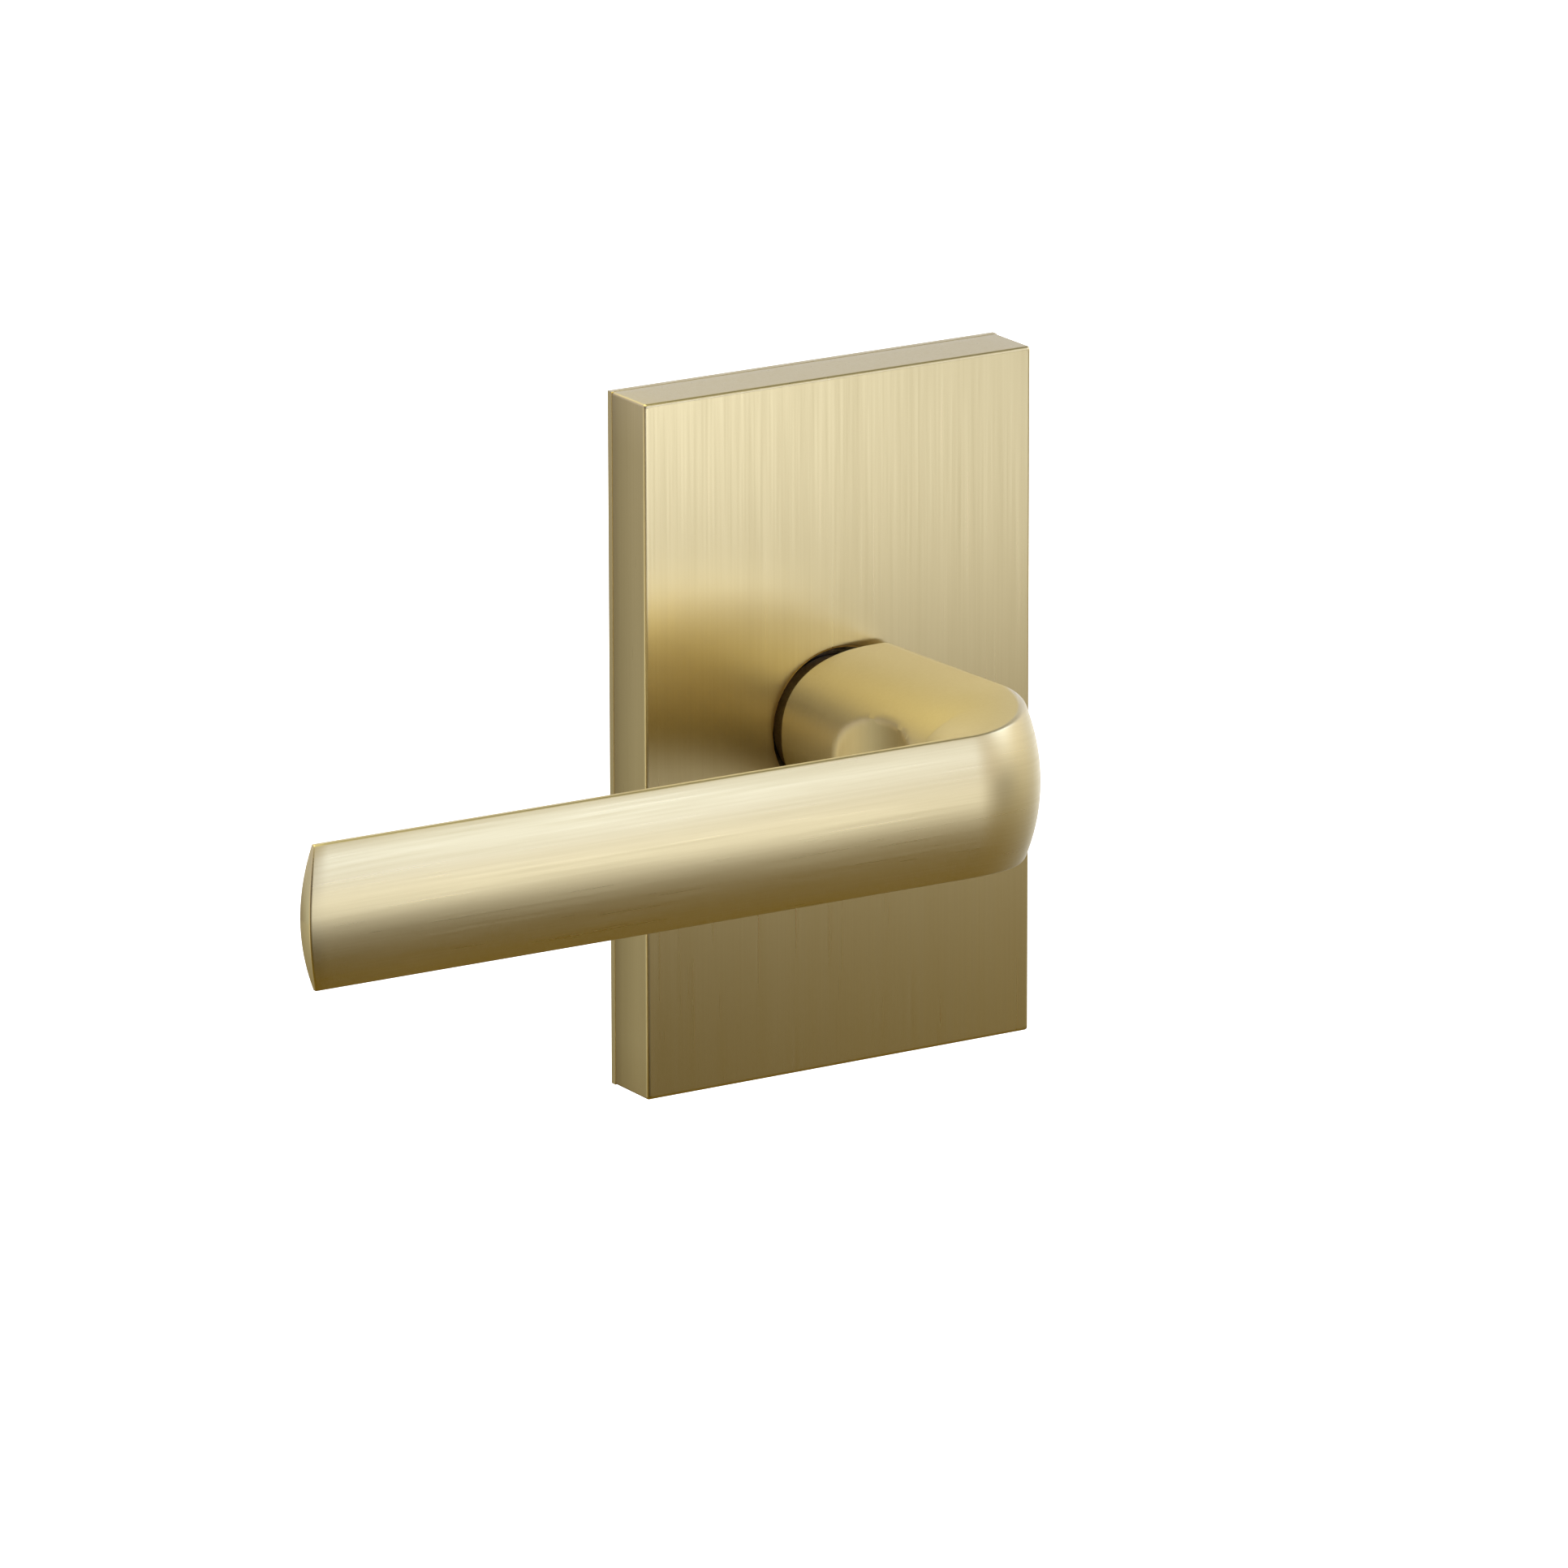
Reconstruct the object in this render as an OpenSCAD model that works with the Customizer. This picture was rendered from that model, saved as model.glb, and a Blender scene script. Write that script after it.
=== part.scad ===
// Outside half of a passage lever set: rectangular rose with its spring chassis,
// and a flat crowned lever on a round neck.
// Origin: lever axis at the door face. +Z up, -Y towards the hand, +Y into the door.
// All lengths are in millimetres.

/* [Rose] */
// Width of the rose
rose_w = 63.5; // [61:0.5:70]
// Height of the rose
rose_h = 100.5; // [90:0.5:120]
// Distance from the door face to the front of the rose
rose_t = 9.86; // [9.6:0.02:12]
// Thickness of the mounting plate that shows behind the cover
plate_t = 1; // [0.8:0.1:1.2]
// Wall thickness of the hollow cover
cover_wall = 1.5; // [1:0.1:1.6]
// Chamfer along the outer edges of the cover
cover_edge = 0.45; // [0.3:0.05:1]
// Radius of the hole that the lever's collar turns in
cover_hole_r = 10.9; // [10.2:0.1:11]

/* [Lever] */
// Distance from the lever axis to the end of the grip at mid height
lever_reach = 112.3; // [95:0.1:125]
// Distance from the door face to the ridge line of the grip at the bend
lever_proj = 56; // [54:0.1:62]
// Half the height of the grip
grip_h = 10.15; // [9:0.05:11]
// Half the height of the lever where the bend begins
bend_h = 11.7; // [10.5:0.1:12.5]
// Rise of the crowned front above the ridge lines
crown = 2.3; // [1:0.1:3]
// Thickness of the grip at its ridge lines
grip_t = 0.7; // [0.6:0.1:2]
// Radius of the bend, along the ridge line
bend_r = 15.4; // [13:0.1:20]
// Rounding of the ridges where the bend begins
bend_edge = 1.8; // [1:0.1:2.5]
// Rounding of the ridges of the grip
grip_edge = 0.4; // [0.3:0.05:0.6]
// Angle by which the grip leans back towards the door
grip_lean = 0.8; // [0:0.1:4]
// Gap between the rose and the neck of the lever
neck_gap = 1.5; // [1:0.1:2]
// Radius of the hollow between the neck and the back of the grip
throat_r = 20; // [16:0.5:22]

/* [Spring chassis] */
// Radius of the spring housing that sits in the bore of the door
housing_r = 25; // [24.5:0.1:26]
// Depth of the spring housing behind the door face
housing_depth = 9; // [8:0.1:10]
// Radius of the drive hub's shank
shank_r = 8; // [7.8:0.05:8.1]
// Angle that the lever turns each way before the hub meets its stops
turn = 45; // [35:1:50]
// Wire diameter of the return spring
spring_wire = 1.6; // [1.2:0.1:1.6]
// Number of turns of the return spring
spring_turns = 3; // [2:1:3]

/* [Through-door fixings] */
// Side of the square spindle
spindle_side = 8; // [7.6:0.1:8]
// Distance that the spindle reaches behind the door face
spindle_reach = 44; // [40:1:60]
// Distance between the two mounting posts
post_spacing = 38; // [37:0.5:38.5]
// Radius of a mounting post
post_r = 4; // [3.5:0.1:4.5]
// Distance that the posts reach behind the door face
post_reach = 34; // [28:1:40]
// Radius of the tapped hole in each post
post_tap_r = 1.73; // [1.6:0.01:2]

/* [Hidden] */
$fn = 96;

// small amount by which cutters pass through what they cut
over = 0.5;
// radial clearance of a turning or sliding fit
run_gap = 0.05;
// radial clearance of parts that are fixed to each other
fixed_gap = 0.02;
// clearance between neighbours that don't touch
air = 0.3;
// clearance of a screw's shank in a clearance hole, and of its head in a counterbore
screw_gap = 0.15;
head_gap = 0.2;
// distance by which screws and rivets stop short of the far side
flush_gap = 0.05;

// finishes
brass = [0.80, 0.71, 0.48];
steel = [0.62, 0.63, 0.65];
zinc = [0.52, 0.53, 0.55];
spring_steel = [0.36, 0.37, 0.40];
bronze = [0.66, 0.47, 0.27];
nylon = [0.90, 0.89, 0.85];

// stations along Y, from the hand towards the door
rose_front = -rose_t;
cover_inner = rose_front + cover_wall;
plate_front = -plate_t;
flange_t = 2;
flange_front = plate_front - flange_t;
lid_t = 1.2;
lid_front = flange_front - lid_t;
bush_lip_t = 1.4;
bush_front = lid_front - bush_lip_t;
neck_base = rose_front - neck_gap;
washer_room = 1.4;
collar_end = bush_front - washer_room;
floor_t = 2;
floor_front = housing_depth - floor_t;

// rose cover
inner_w = rose_w - 2 * cover_wall;
inner_h = rose_h - 2 * cover_wall;
clip_groove_y = -5.2;
clip_groove_h = 1.2;
clip_groove_d = 0.5;
clip_w = 6;
clip_side_gap = 1;
clip_spread = 0.4 * inner_h;
pry_w = 7;
pry_d = 1.2;

// mounting plate
corner_rib_l = 6;
corner_rib_t = 1.2;
corner_rib_h = 3;

// spring clips
clip_t = 0.5;
clip_foot = 6;
clip_lip = 0.9;
clip_ridge_r = 0.7;
clip_ridge_sink = 0.15;
rivet_r = 1.1;
rivet_head_r = 1.9;
rivet_head_t = 0.7;

// spring housing
relief_r = housing_r - 0.4;
relief_end = 0.4;
plate_hole_r = housing_r + 0.5;
cavity_r = 22.4;
flange_w = 55;
flange_h = 70;
flange_corner = 6;
boss_r = 5;
post_screw_seat = flange_front + 1.2;
housing_screw_x = 21.5;
housing_screw_z = 29.5;
lid_r = 27;
lid_screw_ring = 24.7;
screw_r = 1.25;
screw_head_r = 2.3;
screw_head_t = 1.3;
recess_w = 0.5;
recess_share = 0.6;
rear_bush_r = 9;
neck_bush_r = 9.8;
neck_bush_lip_r = 11.5;
wave_r = 9.9;
wave_t = 0.3;
waves = 3;
wave_steps = 72;

// drive hub
hub_engagement = 17;
hub_disc_t = 2.2;
hub_disc_gap = 0.1;
hub_disc_front = flange_front + hub_disc_gap;
hub_disc_back = hub_disc_front + hub_disc_t;
hub_disc_r = post_spacing / 2 - boss_r - air;
stop_half_angle = asin(boss_r / (post_spacing / 2));
stop_margin = 1;
wing_half_angle = 90 - stop_half_angle - turn - stop_margin;
wing_r = cavity_r - 0.8;
barrel_r = 10.4;
barrel_back = floor_front - 0.2;
rear_journal_r = 7;
hub_tail = 3.4;
hub_back = housing_depth + hub_tail;
hub_front = neck_base - hub_engagement;
shank_flat = 7.2;
end_gap = 0.1;
broach = spindle_side + end_gap;
broach_front = -12;
shank_bore_r = 5;
shank_web = 1.5;
shank_bore_back = broach_front - shank_web;
washer_r = 10.4;
washer_t = 0.8;
washer_front = housing_depth + run_gap;
ring_groove_front = washer_front + washer_t + end_gap;
ring_groove_t = 0.9;
ring_groove_r = 6.3;
ring_r = 9;
ring_side_gap = 0.03;
ring_opening = [7, 12];

// return spring: tangs at both ends, one in the hub disc and one in the housing floor
coil_r = 12.3;
coil_front = hub_disc_back + air + spring_wire / 2;
coil_back = floor_front - air - spring_wire / 2;
tang_gap = 0.1;
tang_hole_r = spring_wire / 2 + tang_gap;
tang_lead = 5;
hub_tang_floor = 0.5;
hub_tang_y = hub_disc_front + hub_tang_floor;
floor_tang_l = 1.4;
floor_tang_y = floor_front + floor_tang_l;
// the wire turns from coil to tang through two points, given by share of the lead and distance from the coil
tang_turn_share = 0.6;
tang_turn = [0.15, 0.6];
coil_steps = 24;
wire_sides = 8;

// spindle
spindle_front = broach_front + end_gap;
spindle_chamfer = 1.2;
pin_r = 1;
pin_y = -9.6;

// posts
post_stub_r = 2.5;
post_stub_l = 5;
post_bore_back = housing_depth + 2;
post_screw_end = housing_depth + 1.5;
post_tap_depth = 20;
post_screw_r = 1.5;
post_screw_head_r = 2.8;
post_screw_head_t = 0.9;

// lever catch: a sprung pin that points down through the neck
catch_y = -22;
catch_pin_r = 1.8;
catch_head_r = 3;
catch_head_top = -2.2;
catch_head_t = 1.4;
catch_tip = -9.7;
catch_coil_r = 1.9;
catch_wire = 0.5;
catch_turns = 5;
catch_coil_steps = 16;
catch_wire_sides = 6;
catch_seat_gap = 0.05;

// lever: section sizes
neck_left = -10.5;
neck_right = 8;
neck_base_h = 11.1;
neck_base_crown = 3;
neck_base_edge = 3;
neck_base_shoulder = 3;
bend_shoulder = 1.4;
belly_power = 2.4;
throat_x = -27.9;
bend_x = neck_right - bend_r;
bend_y = -(lever_proj - bend_r);
bend_angle = 90 + grip_lean;
collar_r = 9.3;
collar_root = 2;
socket_gap = 0.04;
socket_end_gap = 1;
socket_end = hub_front - socket_end_gap;
catch_hole_r = catch_pin_r + 0.1;
tip_bulge = 1.9;
crown_steps = 8;
edge_steps = 2;
belly_steps = 18;
neck_steps = 10;
bend_steps = 28;
grip_steps = 10;

// ---- helpers ----

// extrudes a drawing in X and Z from one station along Y to another
module along_y(from, to) {
    translate([0, to, 0])
        rotate([90, 0, 0])
            linear_extrude(to - from)
                children();
}

module disc_y(r, from, to) {
    along_y(from, to) circle(r);
}

module ring_y(r_out, r_in, from, to) {
    along_y(from, to) difference() {
        circle(r_out);
        circle(r_in);
    }
}

module rounded_rect(w, h, r) {
    square([w - 2 * r, h], center = true);
    square([w, h - 2 * r], center = true);
    for (x = [-1, 1], z = [-1, 1])
        translate([x * (w / 2 - r), z * (h / 2 - r)]) circle(r);
}

// a cross-recessed pan-head screw that points towards +Y, with its head's underside at y = 0
module pan_screw(r, length, head_r, head_t) {
    difference() {
        union() {
            disc_y(head_r, -head_t, 0);
            disc_y(r, 0, length);
        }
        for (turned = [0, 90])
            rotate([0, turned, 0])
                translate([-head_r * recess_share, -head_t - over, -recess_w / 2])
                    cube([2 * head_r * recess_share, over + head_t * recess_share, recess_w]);
    }
}

// closed tube along a list of points; side[i] is a direction square to the path at point i
module wire(path, side, r, sides) {
    last = len(path) - 1;
    function tangent(i) = let (d = path[min(i + 1, last)] - path[max(i - 1, 0)]) d / norm(d);
    function ring(i) = let (s = side[i] / norm(side[i]), b = cross(tangent(i), s))
        [for (k = [0:sides - 1]) let (a = 360 * k / sides) path[i] + r * (cos(a) * s + sin(a) * b)];
    points = [for (i = [0:last]) each ring(i)];
    quads = [
        for (i = [0:last - 1], k = [0:sides - 1]) let (n = (k + 1) % sides)
            [i * sides + k, (i + 1) * sides + k, (i + 1) * sides + n, i * sides + n]
    ];
    walls = [for (q = quads) each [[q[0], q[1], q[2]], [q[0], q[2], q[3]]]];
    front_cap = [[for (k = [0:sides - 1]) k]];
    back_cap = [[for (k = [sides - 1:-1:0]) last * sides + k]];
    polyhedron(points, concat(walls, front_cap, back_cap));
}

// ---- rose ----

module rose_cover() {
    e = cover_edge;
    color(brass) difference() {
        hull() {
            along_y(rose_front + e, plate_front) square([rose_w, rose_h], center = true);
            along_y(rose_front, plate_front) square([rose_w - 2 * e, rose_h - 2 * e], center = true);
        }
        along_y(cover_inner, plate_front + over) square([inner_w, inner_h], center = true);
        disc_y(cover_hole_r, rose_front - over, cover_inner + over);
        // grooves that the clips snap into
        at_clips() translate([-clip_w / 2 - clip_side_gap, clip_groove_y - clip_groove_h / 2, 0])
            cube([clip_w + 2 * clip_side_gap, clip_groove_h, air + clip_t + clip_groove_d]);
        // notch under the lower edge for levering the cover off
        translate([-pry_w / 2, plate_front - pry_d, -rose_h / 2 - over])
            cube([pry_w, pry_d + over, cover_wall + 2 * over]);
    }
}

module corner_rib() {
    l = corner_rib_l;
    x = inner_w / 2 - air;
    z = inner_h / 2 - air;
    along_y(plate_front - corner_rib_h, plate_front) difference() {
        translate([x - l, z - l]) square(l);
        translate([x - l - over, z - l - over]) square(l + over - corner_rib_t);
    }
}

module mounting_plate() {
    color(brass) difference() {
        union() {
            along_y(plate_front, 0) square([rose_w, rose_h], center = true);
            corner_rib();
            mirror([1, 0, 0]) corner_rib();
            mirror([0, 0, 1]) corner_rib();
            mirror([1, 0, 0]) mirror([0, 0, 1]) corner_rib();
        }
        disc_y(plate_hole_r, plate_front - over, over);
        for (x = [-1, 1], z = [-1, 1])
            translate([x * housing_screw_x, 0, z * housing_screw_z])
                disc_y(screw_r, plate_front - over, over);
        at_clips() translate([0, 0, -clip_foot / 2]) disc_y(rivet_r, plate_front - over, over);
    }
}

// the middle of the upper and lower edges, and two places on each side
module at_clips() {
    for (turned = [0, 180])
        rotate([0, turned, 0]) translate([0, 0, inner_h / 2 - air - clip_t]) children();
    for (turned = [90, 270], side = [-1, 1])
        rotate([0, turned, 0])
            translate([side * clip_spread, 0, inner_w / 2 - air - clip_t]) children();
}

module cover_clips() {
    arm_tip = clip_groove_y - clip_lip;
    color(spring_steel) difference() {
        at_clips() {
            translate([-clip_w / 2, plate_front - clip_t, -clip_foot])
                cube([clip_w, clip_t, clip_foot + clip_t]);
            translate([-clip_w / 2, arm_tip, 0])
                cube([clip_w, plate_front - arm_tip, clip_t]);
            // ridge that springs into the cover's groove
            translate([-clip_w / 2, clip_groove_y, clip_t - clip_ridge_sink])
                rotate([0, 90, 0]) cylinder(r = clip_ridge_r, h = clip_w);
        }
        at_clips() translate([0, 0, -clip_foot / 2])
            disc_y(rivet_r, plate_front - clip_t - over, plate_front + over);
    }
}

module clip_rivets() {
    color(steel) at_clips() translate([0, 0, -clip_foot / 2]) {
        disc_y(rivet_r, plate_front - clip_t, -flush_gap);
        disc_y(rivet_head_r, plate_front - clip_t - rivet_head_t, plate_front - clip_t);
    }
}

// ---- spring chassis ----

module at_posts() {
    for (z = [-1, 1]) translate([0, 0, z * post_spacing / 2]) children();
}

module at_lid_screws() {
    for (a = [45:90:315]) rotate([0, a, 0]) translate([lid_screw_ring, 0, 0]) children();
}

module spring_housing() {
    color(zinc) difference() {
        union() {
            along_y(flange_front, plate_front) rounded_rect(flange_w, flange_h, flange_corner);
            // the outer wall is relieved where it passes through the plate
            disc_y(relief_r, plate_front, relief_end);
            disc_y(housing_r, relief_end, housing_depth);
        }
        // spring cavity, with the two post bosses left standing as stops
        along_y(flange_front - over, floor_front) difference() {
            circle(cavity_r);
            at_bosses() circle(boss_r);
        }
        disc_y(rear_bush_r, floor_front - over, housing_depth + over);
        at_posts() {
            disc_y(post_stub_r + fixed_gap, housing_depth - post_stub_l, housing_depth + over);
            disc_y(post_screw_r + screw_gap, flange_front - over, housing_depth);
            disc_y(post_screw_head_r + head_gap, flange_front - over, post_screw_seat);
        }
        // hole for the fixed tang of the return spring
        at_tang(tang_lead) disc_y(tang_hole_r, floor_front - over, floor_tang_y + tang_gap);
        for (x = [-1, 1], z = [-1, 1])
            translate([x * housing_screw_x, 0, z * housing_screw_z])
                disc_y(screw_r, flange_front - over, plate_front + over);
        at_lid_screws() disc_y(screw_r, flange_front - over, plate_front);
    }
}

module at_bosses() {
    for (z = [-1, 1]) translate([0, z * post_spacing / 2]) children();
}

// a place on the return spring's coil, at an angle from +X towards +Z
module at_tang(angle) {
    translate([coil_r * cos(angle), 0, coil_r * sin(angle)]) children();
}

module housing_screws() {
    color(steel) for (x = [-1, 1], z = [-1, 1])
        translate([x * housing_screw_x, flange_front, z * housing_screw_z])
            pan_screw(screw_r, flange_t + plate_t - flush_gap, screw_head_r, screw_head_t);
}

module housing_lid() {
    color(steel) difference() {
        disc_y(lid_r, lid_front, flange_front);
        disc_y(neck_bush_r + fixed_gap, lid_front - over, flange_front + over);
        at_lid_screws() disc_y(screw_r + screw_gap, lid_front - over, flange_front + over);
    }
}

module lid_screws() {
    color(steel) at_lid_screws() translate([0, lid_front, 0])
        pan_screw(screw_r, lid_t + flange_t - flush_gap, screw_head_r, screw_head_t);
}

module neck_bush() {
    color(nylon) difference() {
        union() {
            disc_y(neck_bush_r, lid_front, flange_front);
            disc_y(neck_bush_lip_r, bush_front, lid_front);
        }
        disc_y(shank_r + run_gap, bush_front - over, flange_front + over);
    }
}

module rear_bush() {
    color(bronze) difference() {
        disc_y(rear_bush_r, floor_front, housing_depth);
        disc_y(rear_journal_r + run_gap, floor_front - over, housing_depth + over);
    }
}

// thin ring with three waves that takes up the end play of the lever
module wave_washer() {
    lift = wave_t / 2;
    middle = (collar_end + bush_front) / 2;
    swing = (bush_front - collar_end) / 2 - lift - run_gap;
    function rim(i, r, lift) = let (a = 360 * i / wave_steps)
        [r * cos(a), middle + swing * sin(waves * a) + lift, r * sin(a)];
    points = [
        for (i = [0:wave_steps - 1]) each [
            rim(i, shank_r + air, -lift), rim(i, wave_r, -lift),
            rim(i, wave_r, lift), rim(i, shank_r + air, lift)
        ]
    ];
    walls = [
        for (i = [0:wave_steps - 1], k = [0:3])
            let (a = 4 * i + k, b = 4 * i + (k + 1) % 4, n = 4 * ((i + 1) % wave_steps))
            each [[a, n + k, n + (k + 1) % 4], [a, n + (k + 1) % 4, b]]
    ];
    color(spring_steel) polyhedron(points, walls);
}

module return_spring() {
    rise = coil_back - coil_front;
    steps = coil_steps * spring_turns;
    function at(a, y) = [coil_r * cos(a), y, coil_r * sin(a)];
    function out(a) = [cos(a), 0, sin(a)];
    coil = [for (i = [0:steps]) at(360 * i / coil_steps, coil_front + rise * i / steps)];
    coil_side = [for (i = [0:steps]) out(360 * i / coil_steps)];
    lead = tang_lead;
    turned = lead * tang_turn_share;
    front_tang = [
        at(-lead, hub_tang_y), at(-lead, coil_front - tang_turn[1]), at(-turned, coil_front - tang_turn[0])
    ];
    back_tang = [
        at(turned, coil_back + tang_turn[0]), at(lead, coil_back + tang_turn[1]), at(lead, floor_tang_y)
    ];
    color(spring_steel) wire(
        concat(front_tang, coil, back_tang),
        concat([for (a = [lead, lead, turned]) out(-a)], coil_side, [for (a = [turned, lead, lead]) out(a)]),
        spring_wire / 2, wire_sides
    );
}

module post() {
    tap_bottom = post_reach - post_tap_depth;
    color(steel) difference() {
        union() {
            disc_y(post_r, housing_depth, post_reach);
            disc_y(post_stub_r, housing_depth - post_stub_l, housing_depth);
        }
        disc_y(post_tap_r, tap_bottom, post_reach + over);
        disc_y(post_screw_r, housing_depth - post_stub_l - over, post_bore_back);
    }
}

module post_upper() {
    translate([0, 0, post_spacing / 2]) post();
}

module post_lower() {
    translate([0, 0, -post_spacing / 2]) post();
}

module post_screws() {
    color(steel) at_posts() translate([0, post_screw_seat, 0])
        pan_screw(post_screw_r, post_screw_end - post_screw_seat, post_screw_head_r, post_screw_head_t);
}

// ---- turning parts ----

module flatted(r, flat) {
    intersection() {
        circle(r);
        square([2 * flat, 4 * r], center = true);
    }
}

// two opposed wings, drawn as a bow tie about the axis
module wings() {
    intersection() {
        circle(wing_r);
        for (side = [0, 180]) rotate(side) polygon([
            [0, 0],
            [2 * wing_r, 2 * wing_r * tan(wing_half_angle)],
            [2 * wing_r, -2 * wing_r * tan(wing_half_angle)]
        ]);
    }
}

module drive_hub() {
    color(steel) difference() {
        union() {
            along_y(hub_front, collar_end) flatted(shank_r, shank_flat);
            disc_y(shank_r, collar_end, hub_disc_front);
            along_y(hub_disc_front, hub_disc_back) {
                circle(hub_disc_r);
                wings();
            }
            disc_y(barrel_r, hub_disc_back, barrel_back);
            disc_y(rear_journal_r, barrel_back, hub_back);
        }
        along_y(broach_front, hub_back + over) square(broach, center = true);
        disc_y(shank_bore_r, hub_front - over, shank_bore_back);
        ring_y(rear_journal_r + over, ring_groove_r, ring_groove_front, ring_groove_front + ring_groove_t);
        translate([0, catch_y, -shank_r - over]) cylinder(r = catch_pin_r + run_gap, h = shank_r);
        translate([-shank_r, pin_y, 0]) rotate([0, 90, 0]) cylinder(r = pin_r, h = 2 * shank_r);
        // hole for the moving tang of the return spring
        at_tang(-tang_lead) disc_y(tang_hole_r, hub_tang_y - tang_gap, hub_disc_back + over);
    }
}

module thrust_washer() {
    color(bronze) ring_y(washer_r, rear_journal_r + end_gap, washer_front, washer_front + washer_t);
}

module retaining_ring() {
    front = ring_groove_front + ring_side_gap;
    back = ring_groove_front + ring_groove_t - ring_side_gap;
    color(spring_steel) along_y(front, back) difference() {
        circle(ring_r);
        circle(ring_groove_r + run_gap);
        translate([0, -ring_r]) square(ring_opening, center = true);
    }
}

module spindle() {
    c = spindle_chamfer;
    s = spindle_side - fixed_gap;
    color(steel) difference() {
        hull() {
            along_y(spindle_front, spindle_reach - c) square(s, center = true);
            along_y(spindle_front, spindle_reach) square(s - 2 * c, center = true);
        }
        translate([-shank_r, pin_y, 0]) rotate([0, 90, 0]) cylinder(r = pin_r, h = 2 * shank_r);
    }
}

module spindle_pin() {
    half_l = shank_flat - end_gap;
    color(spring_steel) translate([-half_l, pin_y, 0]) rotate([0, 90, 0]) cylinder(r = pin_r, h = 2 * half_l);
}

module lever_catch() {
    color(steel) translate([0, catch_y, 0]) {
        translate([0, 0, catch_tip]) cylinder(r = catch_pin_r, h = catch_head_top - catch_tip);
        translate([0, 0, catch_head_top - catch_head_t]) cylinder(r = catch_head_r, h = catch_head_t);
    }
}

module catch_spring() {
    roof = sqrt(pow(shank_bore_r, 2) - pow(catch_coil_r + catch_wire, 2));
    top = roof - catch_wire / 2 - catch_seat_gap;
    bottom = catch_head_top + catch_wire / 2 + catch_seat_gap;
    steps = catch_coil_steps * catch_turns;
    path = [
        for (i = [0:steps]) let (a = 360 * i / catch_coil_steps)
            [catch_coil_r * cos(a), catch_y + catch_coil_r * sin(a), bottom + (top - bottom) * i / steps]
    ];
    side = [for (i = [0:steps]) let (a = 360 * i / catch_coil_steps) [cos(a), sin(a), 0]];
    color(spring_steel) wire(path, side, catch_wire / 2, catch_wire_sides);
}

// ---- lever ----

// The body is lofted through sections that stand upright on the plan.
// Each section has an outer point on the ridge line, the outward direction there,
// and an inner point on the line of the neck's left side and the grip's back.
grip_dir = [-cos(grip_lean), sin(grip_lean)];
grip_out = [-sin(grip_lean), -cos(grip_lean)];
bend_end = [bend_x, bend_y] + bend_r * [cos(bend_angle), -sin(bend_angle)];
grip_len = (lever_reach - tip_bulge + bend_end[0]) / cos(grip_lean);

// inner line: down the neck's left side, round the throat, then along the grip's back
back_line = bend_end - grip_t * grip_out;
throat_y = back_line[1] + (throat_x - back_line[0]) * grip_dir[1] / grip_dir[0] + throat_r / cos(grip_lean);
throat_start = acos((neck_left - throat_x) / throat_r);
throat_run = throat_r * (bend_angle - throat_start) * PI / 180;
throat_first_y = throat_y - throat_r * sin(throat_start);
inner_run = bend_y - throat_first_y + throat_run;
throat_end = [throat_x, throat_y] + throat_r * grip_out;
bend_run = bend_r * bend_angle * PI / 180;
grip_start = (throat_end - bend_end) * grip_dir;
outer_run = bend_run + grip_start;

function facing(a) = [cos(a), -sin(a)];
function outer_angle(s) = min(s / bend_r * 180 / PI, bend_angle);
function outer_at(s) = [bend_x, bend_y] + bend_r * facing(outer_angle(s)) + max(s - bend_run, 0) * grip_dir;
function inner_at(s) =
    let (straight = bend_y - throat_first_y, a = throat_start + max(s - straight, 0) / throat_r * 180 / PI)
    s < straight ? [neck_left, bend_y - s] : [throat_x, throat_y] + throat_r * facing(a);

// eases from 0 to 1
function ease(t) = t * t * (3 - 2 * t);
function between(a, b, share) = a + (b - a) * share;

// share of the way from one point to another at which the hollow of the throat begins
function hollow_at(from, to) =
    let (
        d = to - from,
        m = from - [throat_x, throat_y],
        b = m * d,
        inside = b * b - (d * d) * (m * m - pow(throat_r, 2))
    )
    inside > 0 ? (-b - sqrt(inside)) / (d * d) : 1;

// half height, rise of the crown, rounding of the ridges and width of the flat behind them
base_form = [neck_base_h, neck_base_crown, neck_base_edge, neck_base_shoulder];
bend_form = [bend_h, crown, bend_edge, bend_shoulder];
grip_form = [grip_h, crown, grip_edge, grip_t];

// the crowned front with its rounded ridges, from the bottom up: height above the ridge line, and Z
function front_profile(h, rise, edge) =
    let (
        crown_r = (h * h + rise * rise) / (2 * rise),
        middle = rise - crown_r,
        z = h - edge,
        lift = middle + sqrt(pow(crown_r - edge, 2) - z * z),
        touch = asin(z / (crown_r - edge)),
        rounding = [
            for (k = [1:edge_steps])
                let (a = between(touch, 90, k / edge_steps)) [lift + edge * cos(a), z + edge * sin(a)]
        ]
    )
    concat(
        [for (k = [edge_steps - 1:-1:0]) [rounding[k][0], -rounding[k][1]]],
        [
            for (k = [0:crown_steps])
                let (a = between(-touch, touch, k / crown_steps))
                    [middle + crown_r * cos(a), crown_r * sin(a)]
        ],
        rounding
    );

// one closed section: up the crowned front, then down the belly
function section(outer, out, inner, form, tip) =
    let (
        h = form[0],
        edge = outer - form[3] * out,
        deepest = hollow_at(edge, inner)
    )
    concat(
        [
            for (q = front_profile(h, form[1], form[2]))
                let (p = outer + q[0] * out + tip * (1 - pow(q[1] / h, 2)) * grip_dir) [p[0], p[1], q[1]]
        ],
        [
            for (k = [0:belly_steps])
                let (
                    a = 180 * k / belly_steps,
                    z = h * sign(cos(a)) * pow(abs(cos(a)), 2 / belly_power),
                    f = min(pow(sin(a), 2 / belly_power), deepest),
                    p = edge + f * (inner - edge) + tip * (1 - pow(z / h, 2)) * grip_dir
                )
                [p[0], p[1], z]
        ]
    );

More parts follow.
